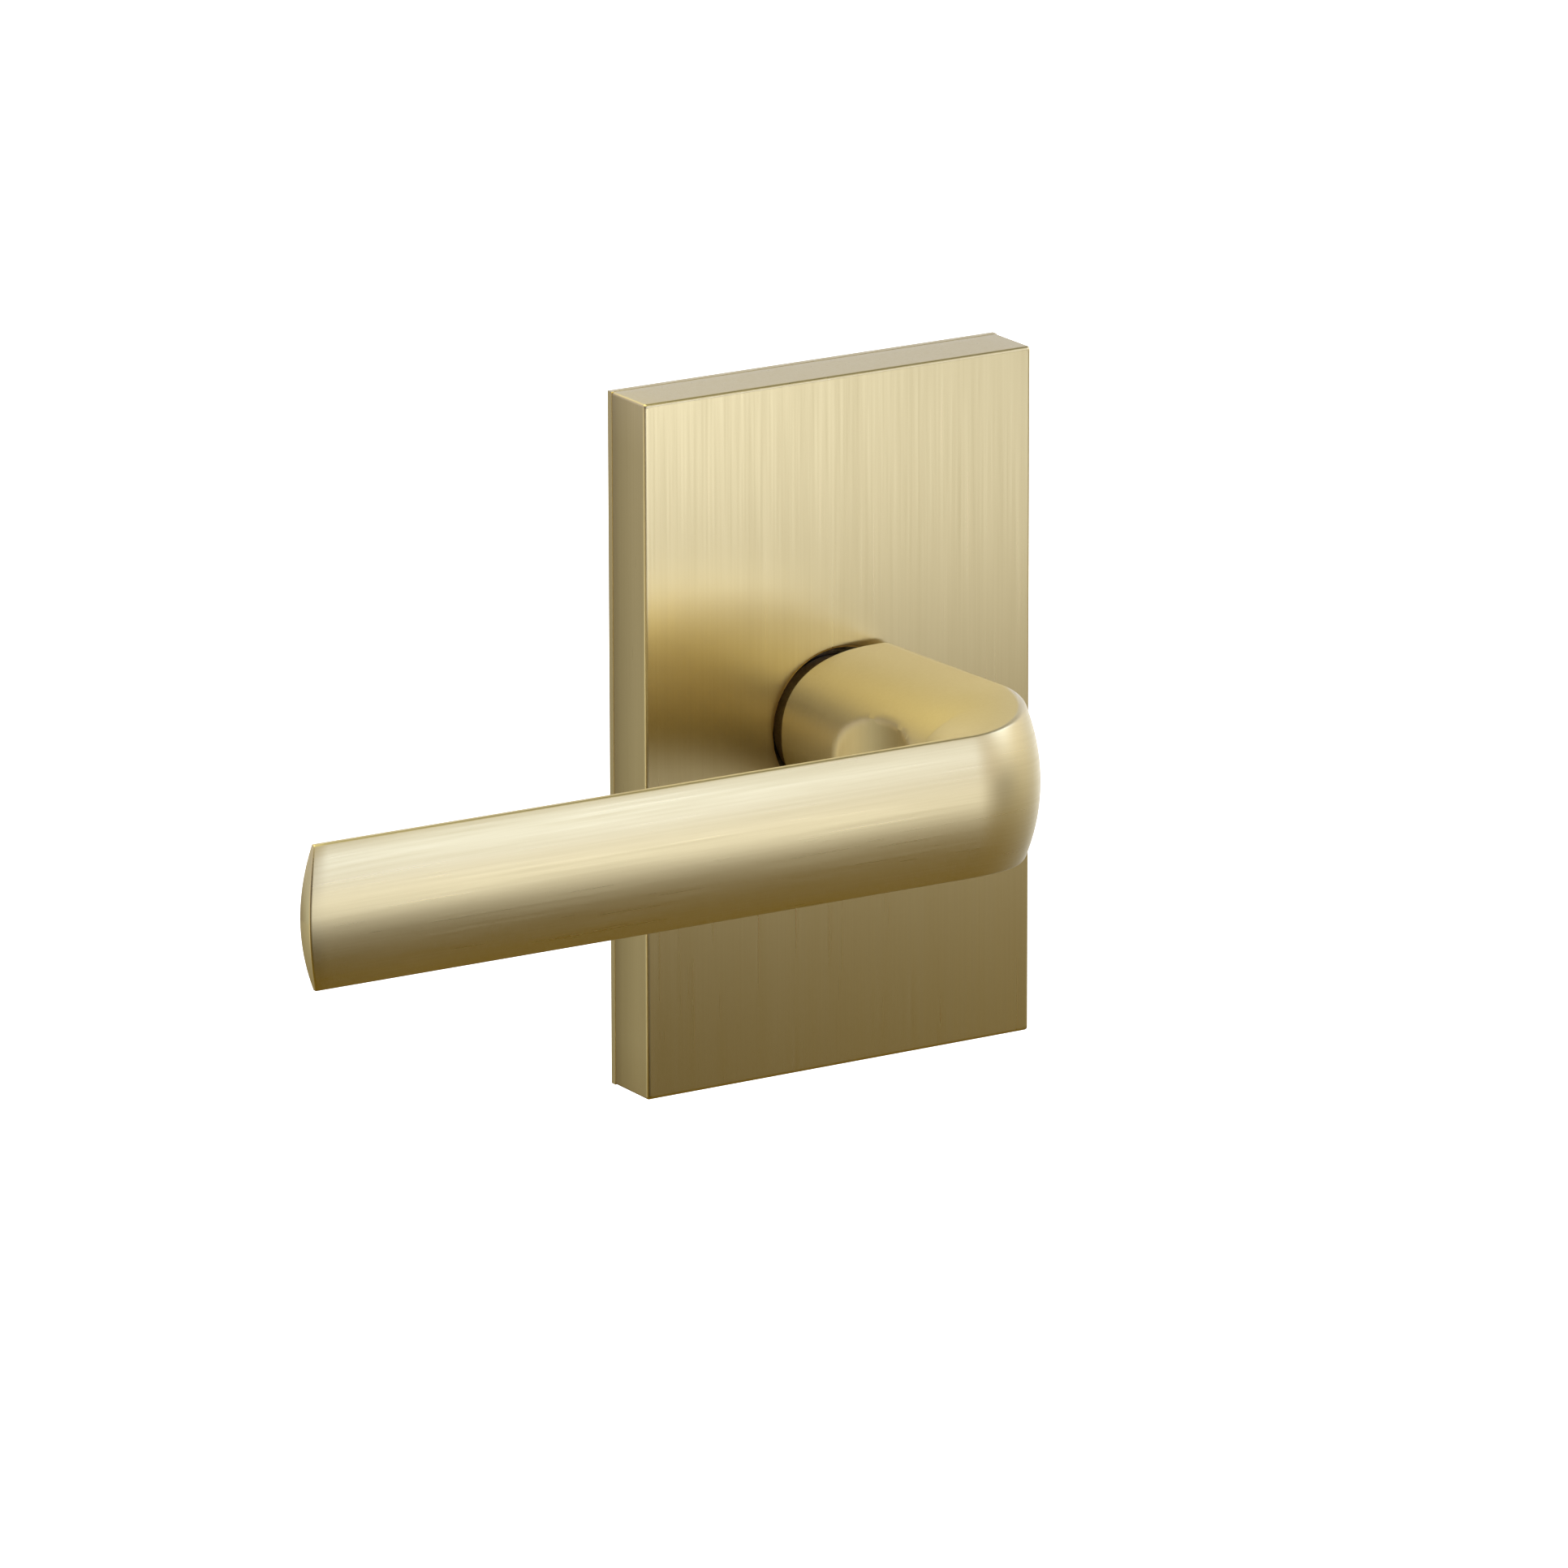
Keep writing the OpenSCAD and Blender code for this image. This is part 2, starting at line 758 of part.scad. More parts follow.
// a section of the neck, with t from 0 at the rose to 1 at the bend
function neck_section(t) =
    let (y = between(neck_base, bend_y, t))
    section([neck_right, y], facing(0), [neck_left, y], between(base_form, bend_form, t), 0);

// a section of the bend, with t from 0 at the neck to 1 at the grip
function bend_section(t) =
    let (s = t * outer_run, a = outer_angle(s), form = between(bend_form, grip_form, ease(a / bend_angle)))
    section(outer_at(s), facing(a), inner_at(t * inner_run), form, 0);

// a section of the grip, at a distance past the bend
function grip_section(s, tip) =
    let (outer = bend_end + s * grip_dir)
    section(outer, grip_out, outer - grip_t * grip_out, grip_form, tip);

lever_sections = concat(
    [for (i = [0:neck_steps - 1]) neck_section(i / neck_steps)],
    [for (i = [0:bend_steps]) bend_section(i / bend_steps)],
    [
        for (i = [1:grip_steps])
            grip_section(between(grip_start, grip_len, i / grip_steps), i == grip_steps ? tip_bulge : 0)
    ]
);

module lever_body() {
    rings = len(lever_sections);
    front = crown_steps + 2 * edge_steps + 1;
    size = front + belly_steps + 1;
    points = [for (ring = lever_sections) each ring];
    walls = [
        for (i = [0:rings - 2], k = [0:size - 1])
            let (a = i * size + k, b = i * size + (k + 1) % size)
            each [[a, b + size, b], [a, a + size, b + size]]
    ];
    base = [[for (k = [0:size - 1]) k]];
    tip = (rings - 1) * size;
    // the end of the grip isn't flat, so it is closed by a fan about its middle
    middle = (points[tip + (front - 1) / 2] + points[tip + front + belly_steps / 2]) / 2;
    fan = [for (k = [0:size - 1]) [tip + (k + 1) % size, tip + k, len(points)]];
    polyhedron(concat(points, [middle]), concat(walls, base, fan));
}

module lever_handle() {
    color(brass) difference() {
        union() {
            lever_body();
            disc_y(collar_r, neck_base - collar_root, collar_end);
        }
        along_y(socket_end, collar_end + over) flatted(shank_r + socket_gap, shank_flat + socket_gap);
        translate([0, catch_y, -neck_base_h - over])
            cylinder(r = catch_hole_r, h = neck_base_h);
    }
}

rose_cover();
mounting_plate();
cover_clips();
clip_rivets();
spring_housing();
housing_screws();
housing_lid();
lid_screws();
neck_bush();
rear_bush();
wave_washer();
return_spring();
post_upper();
post_lower();
post_screws();
drive_hub();
thrust_washer();
retaining_ring();
spindle();
spindle_pin();
lever_handle();
lever_catch();
catch_spring();
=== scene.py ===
"""Looks of the outside half of a passage lever set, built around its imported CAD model."""

import math

import bmesh
import bpy
import numpy as np
from mathutils import Matrix, Vector


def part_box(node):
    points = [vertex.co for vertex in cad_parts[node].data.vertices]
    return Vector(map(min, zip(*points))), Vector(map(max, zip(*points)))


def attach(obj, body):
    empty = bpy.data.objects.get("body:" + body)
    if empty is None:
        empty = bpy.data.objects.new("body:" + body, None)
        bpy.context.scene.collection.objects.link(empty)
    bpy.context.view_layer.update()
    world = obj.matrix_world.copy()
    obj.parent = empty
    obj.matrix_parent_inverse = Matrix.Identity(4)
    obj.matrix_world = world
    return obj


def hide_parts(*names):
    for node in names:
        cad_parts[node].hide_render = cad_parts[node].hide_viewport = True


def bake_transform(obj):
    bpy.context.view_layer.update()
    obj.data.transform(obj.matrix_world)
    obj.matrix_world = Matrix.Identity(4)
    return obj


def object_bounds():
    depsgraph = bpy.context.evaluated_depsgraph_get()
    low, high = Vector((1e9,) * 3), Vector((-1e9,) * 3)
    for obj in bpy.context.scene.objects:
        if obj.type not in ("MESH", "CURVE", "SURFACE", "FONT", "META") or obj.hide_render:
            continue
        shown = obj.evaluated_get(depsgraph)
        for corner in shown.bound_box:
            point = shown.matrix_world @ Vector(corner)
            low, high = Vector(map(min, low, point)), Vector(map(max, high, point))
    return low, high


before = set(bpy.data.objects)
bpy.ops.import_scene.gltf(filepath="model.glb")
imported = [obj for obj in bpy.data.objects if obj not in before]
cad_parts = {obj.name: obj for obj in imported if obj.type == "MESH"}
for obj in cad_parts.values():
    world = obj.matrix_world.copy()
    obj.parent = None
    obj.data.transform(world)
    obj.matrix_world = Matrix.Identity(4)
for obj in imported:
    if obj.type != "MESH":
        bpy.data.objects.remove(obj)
cad_low, cad_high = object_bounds()

MM = 0.001


# ---- sizes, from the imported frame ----

def corners(node):
    """Lowest and highest corner of a CAD node, in millimetres."""
    low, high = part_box(node)
    return np.array(low) / MM, np.array(high) / MM


cover_low, cover_high = corners("rose_cover")
lever_low, lever_high = corners("lever_handle")
hub_low, hub_high = corners("drive_hub")


# ---- mesh helpers ----

def new_object(name, points_mm, faces):
    """A mesh object from points in millimetres and lists of point numbers."""
    mesh = bpy.data.meshes.new(name)
    mesh.from_pydata([tuple(c * MM for c in p) for p in points_mm], [], [list(f) for f in faces])
    mesh.validate()
    obj = bpy.data.objects.new(name, mesh)
    bpy.context.scene.collection.objects.link(obj)
    bm = bmesh.new()
    bm.from_mesh(mesh)
    bmesh.ops.recalc_face_normals(bm, faces=bm.faces)
    bm.to_mesh(mesh)
    bm.free()
    return obj


def freeze(obj):
    """Applies an object's modifiers."""
    graph = bpy.context.evaluated_depsgraph_get()
    made = bpy.data.meshes.new_from_object(obj.evaluated_get(graph))
    obj.modifiers.clear()
    obj.data = made
    return obj


def smooth(obj, angle=40):
    """Smooth shading, with the edges over that angle left sharp."""
    obj.data.polygons.foreach_set("use_smooth", [True] * len(obj.data.polygons))
    obj.data.set_sharp_from_angle(angle=math.radians(angle))


def boolean(obj, cutter, operation):
    """Adds or cuts a second object, which is then removed."""
    m = obj.modifiers.new(operation.lower(), "BOOLEAN")
    m.object, m.operation, m.solver = cutter, operation, "EXACT"
    freeze(obj)
    bpy.data.objects.remove(cutter)


def loft(rings):
    """Faces between successive closed rings of equally many points."""
    size = len(rings[0])
    points = [p for ring in rings for p in ring]
    faces = [
        (i * size + k, i * size + (k + 1) % size, (i + 1) * size + (k + 1) % size, (i + 1) * size + k)
        for i in range(len(rings) - 1)
        for k in range(size)
    ]
    return points, faces


def rod(name, radius, start, end, sides=96):
    """A closed cylinder between two points, in millimetres."""
    start, end = np.array(start, float), np.array(end, float)
    along = (end - start) / np.linalg.norm(end - start)
    side = np.cross(along, [0.0, 0.0, 1.0] if abs(along[2]) < 0.9 else [1.0, 0.0, 0.0])
    side /= np.linalg.norm(side)
    up = np.cross(along, side)
    angles = np.linspace(0, 2 * math.pi, sides, endpoint=False)
    rings = [[p + radius * (math.cos(a) * side + math.sin(a) * up) for a in angles] for p in (start, end)]
    points, faces = loft(rings)
    faces += [tuple(range(sides)), tuple(range(sides, 2 * sides))]
    return new_object(name, points, faces)


# ---- materials ----

class Nodes:
    """A short way to build a node tree."""

    def __init__(self, tree):
        self.tree = tree
        tree.nodes.clear()

    def add(self, kind, values=None, **settings):
        node = self.tree.nodes.new(kind)
        for key, value in settings.items():
            setattr(node, key, value)
        for key, value in (values or {}).items():
            if isinstance(value, bpy.types.NodeSocket):
                self.tree.links.new(value, node.inputs[key])
            else:
                node.inputs[key].default_value = value
        return node

    def math(self, operation, a, b=0.0):
        return self.add("ShaderNodeMath", {0: a, 1: b}, operation=operation).outputs[0]

    def vector(self, operation, a, b=(0, 0, 0)):
        return self.add("ShaderNodeVectorMath", {0: a, 1: b}, operation=operation).outputs[0]

    def noise(self, vector, scale, detail=3.0, rough=0.5):
        return self.add(
            "ShaderNodeTexNoise", {"Vector": vector, "Scale": scale, "Detail": detail, "Roughness": rough}
        ).outputs["Fac"]

    def ramp(self, value, low, high):
        """value, from 0 to 1, spread over low to high."""
        return self.add("ShaderNodeMapRange", {"Value": value, "To Min": low, "To Max": high}).outputs[0]

    def stretch(self, value, low, high):
        """The part of value between low and high, spread over 0 to 1."""
        return self.add("ShaderNodeMapRange", {"Value": value, "From Min": low, "From Max": high}).outputs[0]

    def blend(self, a, b, share):
        """a and b added up, with share of the second."""
        return self.math("ADD", self.math("MULTIPLY", a, 1 - share), self.math("MULTIPLY", b, share))

    def worn_edges(self, radius_mm):
        """0 on faces, rising to 1 along edges."""
        plain = self.add("ShaderNodeNewGeometry").outputs["Normal"]
        rounded = self.add("ShaderNodeBevel", {"Radius": radius_mm * MM}, samples=4).outputs[0]
        same = self.add("ShaderNodeVectorMath", {0: plain, 1: rounded}, operation="DOT_PRODUCT")
        return self.stretch(self.math("SUBTRACT", 1.0, same.outputs["Value"]), 0.01, 0.2)


def rgba(colour):
    return (*colour, 1.0)


def new_material(name):
    m = bpy.data.materials.new(name)
    m.use_nodes = True
    return m, Nodes(m.node_tree)


def finish_material(n, shader):
    n.add("ShaderNodeOutputMaterial", {"Surface": shader})


def mix_colours(n, share, a, b):
    node = n.add("ShaderNodeMix", data_type="RGBA")
    n.tree.links.new(share, node.inputs["Factor"])
    for key, value in (("A", a), ("B", b)):
        if isinstance(value, bpy.types.NodeSocket):
            n.tree.links.new(value, node.inputs[key])
        else:
            node.inputs[key].default_value = rgba(value)
    return node.outputs["Result"]


BRASS_LIGHT = (0.90, 0.80, 0.54)
BRASS_DARK = (0.82, 0.72, 0.46)
BRASS_WORN = (0.96, 0.90, 0.72)
# painted shade: the dark brass mixed onto the cover's side walls near the seam with the mounting plate
BRASS_SEAM_SHADE = (0.44, 0.37, 0.20)


def brushed_brass(name, place, tangent, contrast, seam_shade=None, roughness=0.30, anisotropy=0.70):
    """Satin brass. place gives the brush's coordinates in metres, with x and y across the strokes and z along.
    tangent gives the direction across the strokes, along which highlights spread.
    contrast says how plainly the strokes show, and the optional shade mask gives where painted shade darkens
    the metal, from 0 to 1."""
    m, n = new_material(name)
    at = place(n)
    fine = n.noise(n.vector("MULTIPLY", at, (1.0, 1.0, 0.012)), 2400.0, 3.0, 0.6)
    coarse = n.noise(n.vector("MULTIPLY", at, (1.0, 1.0, 0.02)), 900.0, 2.0, 0.5)
    clouds = n.noise(at, 28.0, 2.0)
    strokes = n.stretch(n.blend(fine, coarse, 0.2), 0.5 - 0.15 / contrast, 0.5 + 0.15 / contrast)
    share = n.blend(strokes, clouds, 0.25)
    worn = n.worn_edges(0.25)
    surface = mix_colours(n, share, BRASS_DARK, BRASS_LIGHT)
    # painted shade, darkening the metal where the mask rises
    if seam_shade:
        surface = mix_colours(n, seam_shade(n), surface, BRASS_SEAM_SHADE)
    colour = mix_colours(n, worn, surface, BRASS_WORN)
    brushed = n.ramp(strokes, roughness + 0.04, roughness - 0.04)
    rough = n.math("SUBTRACT", brushed, n.math("MULTIPLY", worn, 0.08))
    bump = n.add("ShaderNodeBump", {"Height": strokes, "Strength": 0.1, "Distance": 0.00002})
    shader = n.add("ShaderNodeBsdfPrincipled", {
        "Base Color": colour, "Roughness": rough, "Normal": bump.outputs["Normal"], "Tangent": tangent(n),
    })
    shader.inputs["Metallic"].default_value = 1.0
    shader.inputs["Anisotropic"].default_value = anisotropy
    finish_material(n, shader.outputs[0])
    return m


def object_place(n):
    return n.add("ShaderNodeTexCoord").outputs["Object"]


def across_upright(n):
    """The level direction in a wall, or front to back on a level face."""
    normal = n.add("ShaderNodeNewGeometry").outputs["Normal"]
    up = n.add("ShaderNodeVectorMath", {0: normal, 1: (0, 0, 1)}, operation="DOT_PRODUCT").outputs["Value"]
    level = n.math("GREATER_THAN", n.math("ABSOLUTE", up), 0.7)
    wall = n.vector("CROSS_PRODUCT", normal, (0, 0, 1))
    roof = n.vector("CROSS_PRODUCT", normal, (1, 0, 0))
    return n.add("ShaderNodeMix", {"Factor": level, 4: wall, 5: roof}, data_type="VECTOR").outputs[1]


def near_seam(n):
    """Painted shade on the side walls of the cover: rises towards the seam with the mounting plate."""
    normal = n.add("ShaderNodeSeparateXYZ", {"Vector": n.add("ShaderNodeNewGeometry").outputs["Normal"]})
    side = n.math("GREATER_THAN", n.math("ABSOLUTE", normal.outputs["X"]), 0.8)
    depth = n.add("ShaderNodeSeparateXYZ", {"Vector": object_place(n)}).outputs["Y"]
    share = n.stretch(depth, (cover_high[1] - 6) * MM, cover_high[1] * MM)
    return n.math("MULTIPLY", side, n.math("MULTIPLY", share, 0.55))


def uv_place(n):
    """Brush coordinates from the 'brush' map: U across the strokes and V along them, both in metres."""
    uv = n.add("ShaderNodeUVMap", uv_map="brush").outputs["UV"]
    parts = n.add("ShaderNodeSeparateXYZ", {"Vector": uv})
    return n.add("ShaderNodeCombineXYZ", {"X": parts.outputs["X"], "Z": parts.outputs["Y"]}).outputs[0]


def across_uv(n):
    return n.add("ShaderNodeTangent", direction_type="UV_MAP", uv_map="brush").outputs[0]


def speckled(name, light, dark, metallic, roughness, scale, bump_mm=0.01, spread=0.08):
    """A metal or plastic whose looks vary in fine grains and broad clouds, and along its edges."""
    m, n = new_material(name)
    at = object_place(n)
    grains = n.noise(at, scale, 4.0, 0.6)
    clouds = n.noise(at, scale * 0.04, 3.0)
    worn = n.worn_edges(0.3)
    polished = [c + 0.5 * (1 - c) for c in light]
    surface = mix_colours(n, n.stretch(n.blend(grains, clouds, 0.4), 0.3, 0.7), dark, light)
    colour = mix_colours(n, n.math("MULTIPLY", worn, 0.7), surface, polished)
    grainy = n.ramp(grains, roughness - spread, roughness + spread)
    rough = n.math("SUBTRACT", grainy, n.math("MULTIPLY", worn, 0.1))
    bump = n.add("ShaderNodeBump", {"Height": grains, "Strength": 0.5, "Distance": bump_mm * MM})
    shader = n.add("ShaderNodeBsdfPrincipled", {
        "Base Color": colour, "Roughness": rough, "Normal": bump.outputs["Normal"],
    })
    shader.inputs["Metallic"].default_value = metallic
    finish_material(n, shader.outputs[0])
    return m


# the cover's brass has painted shade on its side walls near the seam with the mounting plate
cover_brass = brushed_brass("cover_brass", object_place, across_upright, 0.6, near_seam)
rose_brass = brushed_brass("rose_brass", object_place, across_upright, 0.6)
lever_brass = brushed_brass("lever_brass", uv_place, across_uv, 0.8)
neck_brass = brushed_brass("neck_brass", object_place, across_upright, 0.35, roughness=0.42, anisotropy=0.0)
zinc_plate = speckled("zinc_plate", (0.66, 0.67, 0.68), (0.50, 0.52, 0.54), 1.0, 0.34, 2500.0)
spring_wire = speckled("spring_wire", (0.30, 0.30, 0.32), (0.17, 0.18, 0.20), 1.0, 0.36, 2200.0)
cast_zinc = speckled("cast_zinc", (0.52, 0.53, 0.55), (0.38, 0.39, 0.41), 1.0, 0.52, 1400.0, 0.03)
sintered_bronze = speckled("sintered_bronze", (0.62, 0.42, 0.22), (0.44, 0.28, 0.14), 1.0, 0.46, 3000.0, 0.02)
# painted shade: a darker, browner copy of the brass for the lever's collar, which sits in the shade of the
# rose's hole
collar_shaded_brass = speckled("collar_shaded_brass", (0.66, 0.46, 0.20), (0.50, 0.33, 0.13), 0.55, 0.42, 2600.0)
natural_nylon = speckled("natural_nylon", (0.86, 0.85, 0.80), (0.78, 0.77, 0.71), 0.0, 0.42, 900.0)

CAD_FINISH = {
    "mounting_plate": rose_brass,
    "spring_housing": cast_zinc,
    "neck_bush": natural_nylon,
    "rear_bush": sintered_bronze,
    "thrust_washer": sintered_bronze,
}
for name in ("cover_clips", "wave_washer", "retaining_ring", "spindle_pin"):
    CAD_FINISH[name] = spring_wire
for name in ("clip_rivets", "housing_screws", "housing_lid", "lid_screws", "post_upper", "post_lower",
             "post_screws", "drive_hub", "spindle", "lever_catch"):
    CAD_FINISH[name] = zinc_plate

for name, material in CAD_FINISH.items():
    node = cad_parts[name]
    node.data.materials.clear()
    node.data.materials.append(material)
    smooth(node, 35)


# ---- rose cover ----

def rounded_loop(half_w, half_h, radius, per_side, per_corner):
    """Points round a rectangle with round corners, anticlockwise in X and Z from its right-hand side."""
    loop = []
    for quarter in range(4):
        sx, sz = [(1, 1), (-1, 1), (-1, -1), (1, -1)][quarter]
        cx, cz = sx * (half_w - radius), sz * (half_h - radius)
        first = math.radians(90 * quarter)
        for i in range(per_corner + 1):
            a = first + math.radians(90) * i / per_corner
            loop.append((cx + radius * math.cos(a), cz + radius * math.sin(a)))
        nx, nz = [(-1, 1), (-1, -1), (1, -1), (1, 1)][quarter]
        ex, ez = nx * (half_w - radius), nz * (half_h - radius)
        last = first + math.radians(90)
        p = (cx + radius * math.cos(last), cz + radius * math.sin(last))
        q = (ex + radius * math.cos(last), ez + radius * math.sin(last))
        for i in range(1, per_side):
            t = i / per_side
            loop.append((p[0] + t * (q[0] - p[0]), p[1] + t * (q[1] - p[1])))
    return loop


def at_depth(loop, y):
    return [(x, y, z) for x, z in loop]


def make_rose_cover():
    half_w, half_h = cover_high[0], cover_high[2]
    front, back = cover_low[1], cover_high[1]
    wall, hole, corner, edge, rim, seam = 1.5, 10.9, 0.4, 0.45, 0.35, 0.3
    count = dict(per_side=14, per_corner=6)

    def outline(inset, radius):
        return rounded_loop(half_w - inset, half_h - inset, max(radius, 0.02), **count)

    def circle(radius, like):
        """A circle with a point for each point of the outline, at the same bearing from the hole's centre."""
        return [(radius * x / math.hypot(x, z), radius * z / math.hypot(x, z)) for x, z in like]

    plain = outline(0, corner)
    rings = []
    # hole: from its back edge out to the front face
    rings.append(at_depth(circle(hole, plain), front + wall))
    rings.append(at_depth(circle(hole, plain), front + rim + 0.05))
    for a in np.linspace(0, math.pi / 2, 5):
        ring = circle(hole + rim * (1 - math.cos(a)), plain)
        rings.append(at_depth(ring, front + rim * (1 - math.sin(a))))
    rings.append(at_depth(circle(hole + rim + 0.06, plain), front))
    # flat face: from a circle to the rectangle
    flat = outline(edge + 0.06, corner)
    ring0 = circle(hole + rim + 0.06, plain)
    for t in (0.12, 0.3, 0.5, 0.72, 0.9):
        rings.append(at_depth([
            (p[0] + t * (q[0] - p[0]), p[1] + t * (q[1] - p[1])) for p, q in zip(ring0, flat)
        ], front))
    rings.append(at_depth(flat, front))
    # rounded front edge
    for a in np.linspace(0, math.pi / 2, 7):
        inset = edge * (1 - math.sin(a))
        rings.append(at_depth(outline(inset, corner), front + edge * (1 - math.cos(a))))
    # walls, with a rounded back edge that leaves a fine groove in front of the mounting plate
    depth = back - seam - front - edge
    for t in (0.02, 0.2, 0.4, 0.6, 0.8, 1.0):
        rings.append(at_depth(outline(0, corner), front + edge + depth * t))
    for a in np.radians([25, 50, 75, 90]):
        inset = seam * (1 - math.cos(a))
        rings.append(at_depth(outline(inset, corner), back - seam * (1 - math.sin(a))))
    # inside
    rings.append(at_depth(outline(wall, 0.3), back))
    rings.append(at_depth(outline(wall, 0.3), front + wall))
    points, faces = loft(rings + [rings[0]])
    size = len(rings[0])
    # the last ring is joined back to the first
    points = points[:-size]
    faces = [tuple(p if p < len(points) else p - len(points) for p in f) for f in faces]
    obj = new_object("rose_cover_shell", points, faces)
    smooth(obj, 50)
    obj.data.materials.append(cover_brass)
    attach(obj, "chassis")
    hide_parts("rose_cover")


# ---- lever ----

NECK_RIGHT, NECK_LEFT = 8.0, -10.5
BELLY_POWER = 2.4
BEND_R, PROJECTION = 15.4, 56.0
THROAT_R, THROAT_X = 20.0, -27.9
LEAN = math.radians(0.8)
GRIP_T, TIP_BULGE = 0.7, 1.9
TIP_ROUNDING = 0.3
# half height, rise of the crown, rounding of the ridges and width of the flat behind them
BASE_FORM = np.array([11.1, 3.0, 3.0, 3.0])
BEND_FORM = np.array([11.7, 2.3, 1.8, 1.4])
GRIP_FORM = np.array([10.15, 2.3, 0.4, GRIP_T])
CROWN_STEPS, ROUNDING_STEPS = 28, 8
NECK_GAP = 1.5
COLLAR_R, SOCKET_R = 9.3, 8.04
RELEASE_R, RELEASE_Y = 1.9, -22.0
# length of the grip over which its cells take on the curve of its end
TIP_RUN = 14.0


def between(a, b, share):
    return a + (b - a) * share


def ease(t):
    return t * t * (3 - 2 * t)


def facing(a):
    return np.array([math.cos(a), -math.sin(a)])


def front_profile(half_h, rise, rounding):
    """The crowned front with its rounded ridges, from the bottom up: height above the ridge line, and Z."""
    crown_r = (half_h**2 + rise**2) / (2 * rise)
    middle, z = rise - crown_r, half_h - rounding
    lift = middle + math.sqrt((crown_r - rounding) ** 2 - z * z)
    touch = math.asin(z / (crown_r - rounding))
    upper = [
        (lift + rounding * math.cos(a), z + rounding * math.sin(a))
        for a in np.linspace(touch, math.pi / 2, ROUNDING_STEPS + 1)[1:]
    ]
    crown = [
        (middle + crown_r * math.cos(a), crown_r * math.sin(a))
        for a in np.linspace(-touch, touch, CROWN_STEPS + 1)
    ]
    return [(q[0], -q[1]) for q in reversed(upper)] + crown + upper


def make_lever():
    neck_base = cover_low[1] - NECK_GAP
    reach = -lever_low[0]
    bend = np.array([NECK_RIGHT - BEND_R, BEND_R - PROJECTION])
    turn = math.pi / 2 + LEAN
    along = np.array([-math.cos(LEAN), math.sin(LEAN)])
    away = np.array([-math.sin(LEAN), -math.cos(LEAN)])
    bend_end = bend + BEND_R * facing(turn)
    grip_len = (reach - TIP_BULGE + bend_end[0]) / math.cos(LEAN)
    back = bend_end - GRIP_T * away
    throat_y = back[1] + (THROAT_X - back[0]) * along[1] / along[0] + THROAT_R / math.cos(LEAN)
    throat = np.array([THROAT_X, throat_y])
    throat_start = math.acos((NECK_LEFT - THROAT_X) / THROAT_R)
    straight = bend[1] - throat_y + THROAT_R * math.sin(throat_start)
    inner_run = straight + THROAT_R * (turn - throat_start)
    grip_start = (throat + THROAT_R * away - bend_end) @ along
    outer_run = BEND_R * turn + grip_start
    steps = CROWN_STEPS + 2 * ROUNDING_STEPS

    def hollow_at(start, end):
        """Share of the way between two points at which the hollow of the throat begins."""
        d, m = end - start, start - throat
        if d @ d < 1e-6:
            return 1.0
        b = m @ d / (d @ d)
        inside = b * b - (m @ m - THROAT_R**2) / (d @ d)
        return -b - math.sqrt(inside) if inside > 0 else 1.0

    def section(outer, out, inner, form, tip):
        half_h, rise, rounding, flat = form
        edge = outer - flat * out
        deepest = hollow_at(edge, inner)
        ring = []
        for lift, z in front_profile(half_h, rise, rounding):
            p = outer + lift * out + tip * (1 - (z / half_h) ** 2) * along
            ring.append((p[0], p[1], z))
        for k in range(steps + 1):
            a = math.pi * k / steps
            c = math.cos(a)
            z = half_h * math.copysign(abs(c) ** (2 / BELLY_POWER), c)
            f = min(math.sin(a) ** (2 / BELLY_POWER), deepest)
            p = edge + f * (inner - edge) + tip * (1 - (z / half_h) ** 2) * along
            ring.append((p[0], p[1], z))
        return ring

    rings, distance = [], []
    hollow_start = throat_y + THROAT_R * math.sin(throat_start)
    neck_ys = np.concatenate([
        np.linspace(neck_base, hollow_start, 13, endpoint=False),
        np.linspace(hollow_start, bend[1], 24, endpoint=False),
    ])
    for y in neck_ys:
        form = between(BASE_FORM, BEND_FORM, (y - neck_base) / (bend[1] - neck_base))
        rings.append(section(np.array([NECK_RIGHT, y]), facing(0), np.array([NECK_LEFT, y]), form, 0))
        distance.append(-y)
    for t in np.linspace(0, 1, 91):
        s = t * outer_run
        a = min(s / BEND_R, turn)
        outer = bend + BEND_R * facing(a) + max(s - BEND_R * turn, 0) * along
        i = t * inner_run
        if i < straight:
            inner = np.array([NECK_LEFT, bend[1] - i])
        else:
            inner = throat + THROAT_R * facing(throat_start + (i - straight) / THROAT_R)
        form = between(BEND_FORM, GRIP_FORM, ease(a / turn))
        rings.append(section(outer, facing(a), inner, form, 0))
        distance.append(-bend[1] + s)
    # each station of the grip is a distance past the bend and an inset from the grip's outline
    stations = [(g, 0.0) for g in np.linspace(grip_start, grip_len - TIP_ROUNDING, 41)[1:]]
    for a in np.linspace(0, math.pi / 2, 6)[1:]:
        stations.append((grip_len - TIP_ROUNDING * (1 - math.sin(a)), TIP_ROUNDING * (1 - math.cos(a))))
    for g, inset in stations:
        outer = bend_end + g * along - inset * away
        # the last stretch follows the curve of the end, so that its cells stay even
        near = max(0.0, 1 - (grip_len - g) / TIP_RUN)
        form = GRIP_FORM - np.array([inset, 0, min(inset, 0.25), 2 * inset])
        rings.append(section(outer, away, outer - form[3] * away, form, TIP_BULGE * near))
        distance.append(-bend[1] + outer_run + g - grip_start)

    points, faces = loft(rings)
    size = len(rings[0])
    front = size - steps - 1
    for ring in (0, len(rings) - 1):
        first = ring * size
        for k in range(steps):
            faces.append((first + k, first + k + 1, first + size - 2 - k, first + size - 1 - k))
    obj = new_object("lever_grip", points, faces)
    obj.data.materials.append(lever_brass)
    obj.data.materials.append(neck_brass)

